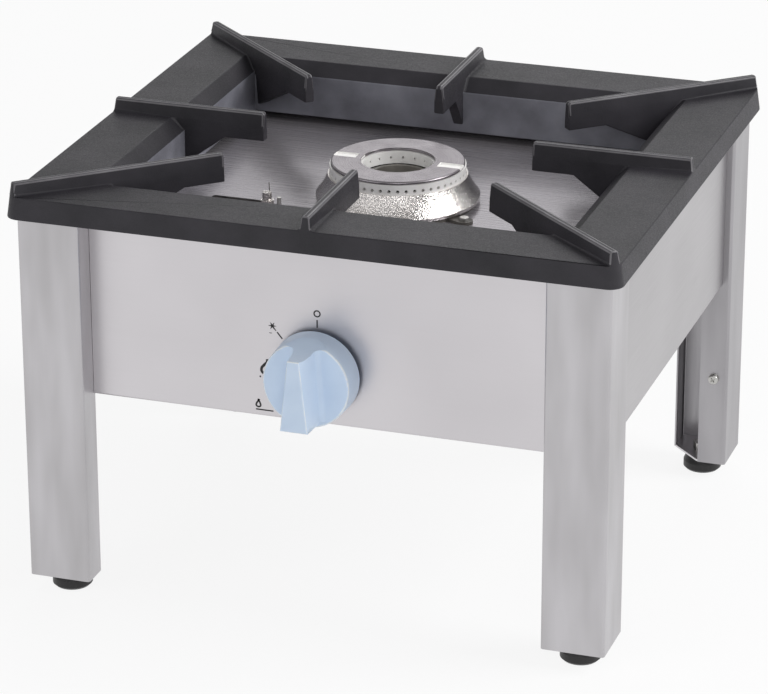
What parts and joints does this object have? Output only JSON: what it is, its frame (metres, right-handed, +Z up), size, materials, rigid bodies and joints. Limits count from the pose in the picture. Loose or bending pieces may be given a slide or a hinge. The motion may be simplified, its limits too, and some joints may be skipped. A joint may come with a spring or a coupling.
{
  "type": "stock pot range",
  "caption": "Low square gas stock pot stove: cast iron grate with inward ribs over a ring burner, folded stainless body on open angle legs with levelling feet and a gripped control knob.",
  "frame": {"origin": "on the floor below the burner's axis, at the middle of the overall width and depth", "axes": "+X to the user's right, +Y to the back, +Z up; the control knob faces -Y"},
  "size_m": [0.58, 0.593, 0.41],
  "materials": {
    "stainless": "brushed stainless sheet",
    "cast_iron": "satin enamelled casting",
    "burner_iron": "cast, machined seats",
    "burner_steel": "fine turned",
    "polished_steel": "polished",
    "zinc_steel": "zinc plated",
    "dark_steel": "dark satin",
    "brass": "turned brass",
    "knob_plastic": "satin pale blue",
    "foot_plastic": "black moulded"
  },
  "bodies": {
    "casing": {"leg_front_left": "stainless", "leg_front_right": "stainless", "leg_rear_left": "stainless", "leg_rear_right": "stainless", "foot_plate_front_left": "stainless", "foot_plate_front_right": "stainless", "foot_plate_rear_left": "stainless", "foot_plate_rear_right": "stainless", "foot_nuts": "zinc_steel", "front_panel": "stainless", "rear_panel": "stainless", "side_panel_left": "stainless", "side_panel_right": "stainless", "top_plate": "stainless", "burner_body": "burner_iron", "mixing_tube": "burner_iron", "burner_skirt": "polished_steel", "outer_port_ring": "burner_steel", "inner_port_ring": "burner_steel", "burner_screws": "zinc_steel", "injector_bracket": "zinc_steel", "bracket_screws": "zinc_steel", "injector_holder": "brass", "injector": "brass", "tap_body": "brass", "tap_nut": "brass", "burner_pipe": "zinc_steel", "inlet_pipe": "zinc_steel", "inlet_fitting": "brass", "inlet_nut": "brass", "pilot_bracket": "stainless", "pilot_burner": "polished_steel", "pilot_tube": "dark_steel", "thermocouple": "polished_steel", "bonding_screw": "zinc_steel", "bonding_nut": "zinc_steel"},
    "grate": {"grate": "cast_iron"},
    "burner_cap": {"burner_cap": "burner_steel"},
    "air_shutter": {"air_shutter": "zinc_steel"},
    "thrust_pin": {"tap_thrust_pin": "zinc_steel"},
    "knob": {"knob": "knob_plastic", "tap_spindle": "brass"},
    "foot_front_left": {"foot_pad_front_left": "foot_plastic", "foot_stud_front_left": "zinc_steel"},
    "foot_front_right": {"foot_pad_front_right": "foot_plastic", "foot_stud_front_right": "zinc_steel"},
    "foot_rear_left": {"foot_pad_rear_left": "foot_plastic", "foot_stud_rear_left": "zinc_steel"},
    "foot_rear_right": {"foot_pad_rear_right": "foot_plastic", "foot_stud_rear_right": "zinc_steel"}
  },
  "joints": [
    {"name": "grate_lift", "type": "slide", "parent": "casing", "child": "grate", "axis": [0, 0, 1], "range_m": [0, 0.1]},
    {"name": "cap_lift", "type": "slide", "parent": "casing", "child": "burner_cap", "axis": [0, 0, 1], "range_m": [0, 0.03]},
    {"name": "shutter_slide", "type": "slide", "parent": "casing", "child": "air_shutter", "axis": [0, -1, 0], "range_m": [0, 0.008]},
    {"name": "knob_push", "type": "slide", "parent": "casing", "child": "thrust_pin", "axis": [0, 1, 0], "range_m": [0, 0.004], "stiffness_N_per_m": 1500, "springref_m": -0.002},
    {"name": "knob_turn", "type": "hinge", "parent": "thrust_pin", "child": "knob", "pos_m": [0, -0.231, 0.25], "axis": [0, -1, 0], "range_deg": [0, 125]},
    {"name": "foot_screw_front_left", "type": "slide", "parent": "casing", "child": "foot_front_left", "axis": [0, 0, -1], "range_m": [0, 0.01]},
    {"name": "foot_screw_front_right", "type": "slide", "parent": "casing", "child": "foot_front_right", "axis": [0, 0, -1], "range_m": [0, 0.01]},
    {"name": "foot_screw_rear_left", "type": "slide", "parent": "casing", "child": "foot_rear_left", "axis": [0, 0, -1], "range_m": [0, 0.01]},
    {"name": "foot_screw_rear_right", "type": "slide", "parent": "casing", "child": "foot_rear_right", "axis": [0, 0, -1], "range_m": [0, 0.01]}
  ]
}
